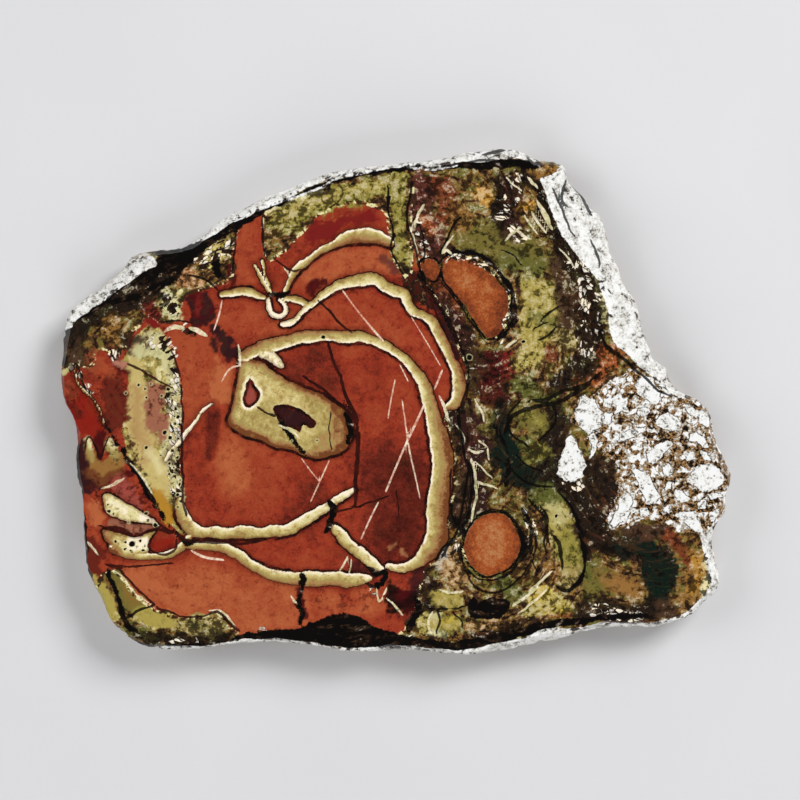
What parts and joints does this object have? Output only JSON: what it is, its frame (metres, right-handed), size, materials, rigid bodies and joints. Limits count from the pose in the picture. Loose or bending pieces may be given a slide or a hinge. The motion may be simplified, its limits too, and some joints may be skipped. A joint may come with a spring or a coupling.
{
  "type": "jasper slab",
  "caption": "Irregular sawn slab of multicoloured jasper with a flat polished front, a flat sawn back and a worn natural skin round the edge.",
  "frame": {"origin": "under the middle of the slab's outline box, on the sawn back that it lies on", "axes": "+X along the slab's long side, to the right of the picture; +Y up the picture; +Z out of the polished front"},
  "size_m": [0.1123, 0.0848, 0.007],
  "materials": {
    "jasper": "polished front, matt sawn back, chalky worn skin round the edge"
  },
  "bodies": {
    "root": {"jasper_slab": "jasper"}
  },
  "joints": []
}
